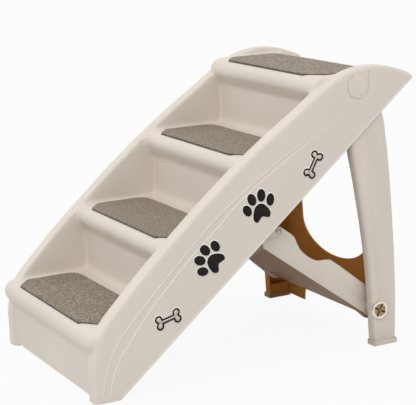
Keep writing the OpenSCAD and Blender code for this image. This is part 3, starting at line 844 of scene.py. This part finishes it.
def metal(name, colour, rough):
    """Plated metal with fine scratches drawn along x and a few dull patches."""
    mat, nodes, links, place, bump, shader = surface(
        name, {"Strength": 0.12, "Distance": 0.1 * mm}, {"Metallic": 1})
    stretch = add_node(nodes, "Mapping", {"Scale": scratch_scales})
    scratch = add_node(nodes, "TexNoise", {"Scale": 1, "Detail": 4})
    patch = add_node(nodes, "TexNoise", {"Scale": 90})
    dull = add_node(nodes, "MapRange", {"To Min": rough - 0.08, "To Max": rough + 0.12})
    tint = colour_ramp(nodes, [(0, [0.8 * c for c in colour]), (1, colour)])
    join(
        links, (place, "Object", stretch, "Vector"), (stretch, "Vector", scratch, "Vector"),
        (place, "Object", patch, "Vector"), (patch, "Fac", dull, "Value"), (patch, "Fac", tint, "Fac"),
        (tint, "Color", shader, "Base Color"), (dull, "Result", shader, "Roughness"),
        (scratch, "Fac", bump, "Height"))
    return mat


zinc = metal("zinc_plate", (0.62, 0.63, 0.65), 0.36)
for side, side_name in ((1, "right"), (-1, "left")):
    cap = softened(
        f"upper_pivot_pin_{side_name}", f"pivot_pin_{side_name}", cap_edge_r, [warm_white], "stairs")
    applied(cap)
    cut_ring(cap, side)
    cap.data.set_sharp_from_angle(angle=sharp_angle)
    softened(
        f"upper_pivot_clip_{side_name}", f"pivot_ring_{side_name}", ring_edge_r, [zinc], "stairs")

# Leg frame: two hollow legs and the curved back panel with its window and arch, one moulding. The
# outer faces are warm white; the front of the panel and the insides of the legs are tan brown, which is
# painted shade.
leg_in_x = inner_half_w + 4 * mm
leg_out_x = half_w - 4 * mm
leg_slim_r = 3.5 * mm
leg_front_r = 9 * mm
leg_blend_h = 70 * mm
leg_top_z = 440 * mm
leg_sole_z = 5 * mm
leg_edge_min = 2 * mm
leg_mould_r = 1 * mm
on_face = 0.01 * mm
pin_z = 0.1356 * climb_z
pin_head_r = 16 * mm
# Painted shade reaches up to this height on the front of the left foot.
shade_foot_z = 96 * mm
leg_white = moulded_plastic("leg_white_plastic", (0.71, 0.645, 0.575), (0.68, 0.615, 0.545))
# Painted shade: a tan brown laid on the shaded front of the panel and the insides of the legs.
leg_painted_shade = moulded_plastic("leg_painted_shade_plastic", (0.54, 0.235, 0.055), (0.47, 0.2, 0.045), specular=0)
leg_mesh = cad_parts["leg_frame"].data
leg_tree = BVHTree.FromPolygons(
    [v.co for v in leg_mesh.vertices], [f.vertices for f in leg_mesh.polygons])


def leg_painted_shade_faces(face):
    """True where painted shade goes: the front of the panel, the pockets of the legs and the front of
    the left foot.
    """
    middle, away = face.calc_center_median(), face.normal
    looks_in = away.x * math.copysign(1, middle.x) < -0.5
    meets_wall = leg_tree.ray_cast(middle + away * overrun, away)[0] is not None
    in_pocket = abs(middle.x) < leg_out_x - wall / 2 and (looks_in or meets_wall)
    on_panel = abs(middle.x) < leg_in_x + overrun and away.y < 0.5
    left_foot_shade = middle.x < 0 and away.y < -0.5 and middle.z < shade_foot_z
    return on_panel or in_pocket or left_foot_shade


def leg_round(edge):
    """Radius of an edge of the leg's outer face: broad in front above the brace, slim elsewhere."""
    low, high = sorted(v.co.z for v in edge.verts)
    outer = all(abs(abs(v.co.x) - leg_out_x) < on_face for v in edge.verts)
    corner = any(abs(f.normal.x) < 0.5 for f in edge.link_faces)
    if not (outer and corner and low > leg_sole_z and high < leg_top_z and high - low > leg_edge_min):
        return 0
    ahead = min(f.normal.y for f in edge.link_faces) < -0.5
    rise = min(max((low - pin_z - pin_head_r) / leg_blend_h, 0), 1)
    return leg_slim_r + ahead * rise * (leg_front_r - leg_slim_r)


softened(
    "leg_frame", "leg_moulding", leg_mould_r, [leg_white, leg_painted_shade], "legs",
    inside=leg_painted_shade_faces, wide=leg_round)

# Rear feet: sand-coloured rubber caps pushed on to the ends of the legs and a little wider than
# they are. The inner sides of both and the front of the left one are brown, which is painted shade.
rear_foot_edge_r = 0.7 * mm
sand_rubber = rubber("sand_rubber", (0.62, 0.555, 0.48), (0.67, 0.6, 0.52))
# Painted shade: a brown rubber for the caps' shaded faces.
rubber_painted_shade = rubber("rubber_painted_shade", (0.3, 0.15, 0.05), (0.36, 0.19, 0.07))


def cap_painted_shade(face):
    """True where painted shade goes: a cap's inner side and the front of the left one."""
    middle, away = face.calc_center_median(), face.normal
    return abs(away.x) > 0.5 and abs(middle.x) < leg_in_x or middle.x < 0 and away.y < -0.5


for side in ("left", "right"):
    softened(
        f"rear_foot_cap_{side}", f"rear_foot_rubber_{side}", rear_foot_edge_r,
        [sand_rubber, rubber_painted_shade], "legs", inside=cap_painted_shade, segments=3)

# Brace: a tray-shaped moulding with a hand hold in each flange. It folds up against the stairs, and
# its underside and the outer faces of its heels are taupe, which is painted shade.
brace_half_w = leg_in_x - 9.5 * mm
brace_edge_r = 1.2 * mm
heel_step = 1 * mm
heel_near = 0.1 * mm
# Painted shade: a taupe laid on the underside of the brace and on its heels.
brace_painted_shade = moulded_plastic(
    "brace_painted_shade_plastic", (0.35, 0.19, 0.1), (0.31, 0.165, 0.085), specular=0.02)


def brace_painted_shade_faces(face):
    """True where painted shade goes: below the web, where faces look down and forwards, and on the
    heels' outer faces.
    """
    out_x = abs(face.calc_center_median().x)
    on_heel = abs(out_x - brace_half_w + heel_step) < heel_near
    downwards = face.normal.z < -0.3 and face.normal.y < 0
    return on_heel or out_x < brace_half_w - wall / 2 and downwards


softened(
    "brace_panel", "brace_moulding", brace_edge_r, [leg_white, brace_painted_shade], "brace",
    inside=brace_painted_shade_faces, segments=3)

# Brace pivots: cross-slotted pins plated in a warm white metal, nylon bushes and spring rings. The
# dish in each pin's head is darker than its rim, and the slots are darkest: painted shade in the
# hollows.
pin_edge_r = 0.45 * mm
pin_dish_r = 11.5 * mm
pin_dish_d = 1.2 * mm
dish_margin = 1.5 * mm
slot_margin = 0.4 * mm
bush_edge_r = 0.4 * mm
pin_plate = metal("pin_plate", (0.9, 0.83, 0.7), 0.24)
# Painted shade: darker metal for the dish and the cross slot of each pin's head.
pin_dish = metal("pin_dish_painted_shade", (0.42, 0.3, 0.16), 0.42)
pin_slot = metal("pin_slot_painted_shade", (0.08, 0.05, 0.028), 0.5)
nylon = moulded_plastic("sand_nylon_plastic", (0.5, 0.45, 0.38), (0.46, 0.41, 0.345), 1500)


def pin_painted_shade_index(face):
    """0 on the rim of a pin's head, 1 on the floor of its dish and 2 in the cross slot; 1 and 2 are
    painted shade.
    """
    middle = face.calc_center_median()
    off_axis = math.hypot(middle.y - brace_pin_y, middle.z - brace_pin_z)
    sunk = half_w - abs(middle.x)
    if off_axis > pin_dish_r + dish_margin or sunk > half_w - leg_out_x:
        return 0
    if sunk > pin_dish_d + slot_margin:
        return 2
    return int(sunk > 0.8 * pin_dish_d)


for side in ("right", "left"):
    head_lo, head_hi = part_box(f"brace_pin_{side}")
    brace_pin_y = (head_lo[1] + head_hi[1]) / 2
    brace_pin_z = (head_lo[2] + head_hi[2]) / 2
    softened(
        f"brace_pin_{side}", f"brace_pivot_pin_{side}", pin_edge_r, [pin_plate, pin_dish, pin_slot],
        "legs", inside=pin_painted_shade_index)
    softened(f"brace_spacer_{side}", f"brace_bush_{side}", bush_edge_r, [nylon], "legs")
    softened(f"brace_pin_clip_{side}", f"brace_ring_{side}", ring_edge_r, [zinc], "legs")

# Latch: a coated steel rod across the front of the brace, two coated brackets under the third step
# that it drops into, and their four zinc-plated pan-head screws.
latch_edge_r = 0.6 * mm
screw_edge_r = 0.5 * mm
latch_coat = moulded_plastic("latch_coat", (0.66, 0.59, 0.51), (0.62, 0.55, 0.47), 1600)
softened("latch_rod", "latch_bar", latch_edge_r, [latch_coat], "brace")
for side in ("right", "left"):
    softened(f"latch_hook_{side}", f"latch_bracket_{side}", latch_edge_r, [latch_coat], "stairs")
softened("latch_hook_screws", "latch_screws", screw_edge_r, [zinc], "stairs")
